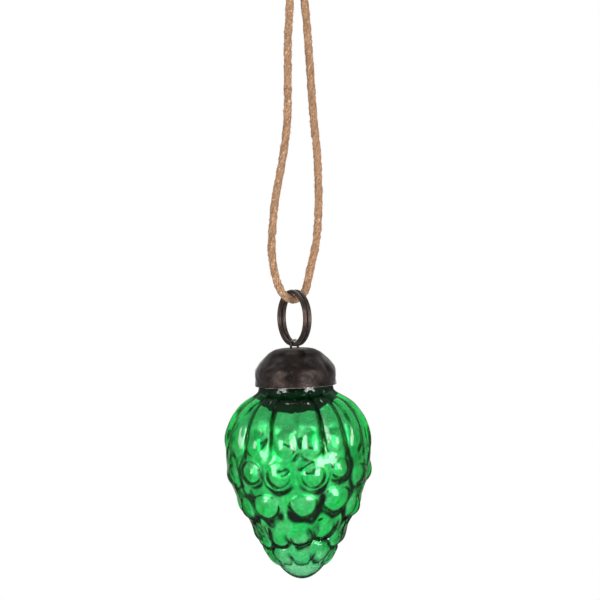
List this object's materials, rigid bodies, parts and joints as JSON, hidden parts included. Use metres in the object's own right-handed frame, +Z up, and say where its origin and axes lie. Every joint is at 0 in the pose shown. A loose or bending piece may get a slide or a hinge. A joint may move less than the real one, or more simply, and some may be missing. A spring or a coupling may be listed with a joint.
{
  "type": "pinecone ornament",
  "caption": "Hanging pinecone ornament: hollow blown glass body with rows of rounded scales under a pressed metal cap, hung by a wire eye, split ring and twine loop.",
  "frame": {"origin": "crotch of the twine loop just under its knot, where a hook carries the ornament", "axes": "+Z up, along the hanging ornament; the split ring lies in the XZ plane and the twine passes through it along Y"},
  "size_m": [0.049, 0.0487, 0.2291],
  "materials": {
    "glass": "clear green glass, mottled silvering on the inside",
    "cap_metal": "dark bronze patina, satin, speckled",
    "wire": "dark oxidised wire",
    "twine": "natural jute fibre, matte"
  },
  "bodies": {
    "hanger": {"cord": "twine", "knot": "twine"},
    "ring": {"split_ring": "wire"},
    "cap": {"cap": "cap_metal", "staple": "wire"},
    "glass": {"glass_body": "glass"}
  },
  "joints": [
    {"name": "ring_swing", "type": "hinge", "parent": "hanger", "child": "ring", "pos_m": [0, 0, -0.1137], "axis": [0, 1, 0], "range_deg": [-60, 60]},
    {"name": "cap_swing", "type": "hinge", "parent": "ring", "child": "cap", "pos_m": [0, 0, -0.12875], "axis": [1, 0, 0], "range_deg": [-50, 46]},
    {"name": "glass_pull", "type": "slide", "parent": "cap", "child": "glass", "axis": [0, 0.0401, -0.9992], "range_m": [0, 0.024]}
  ]
}
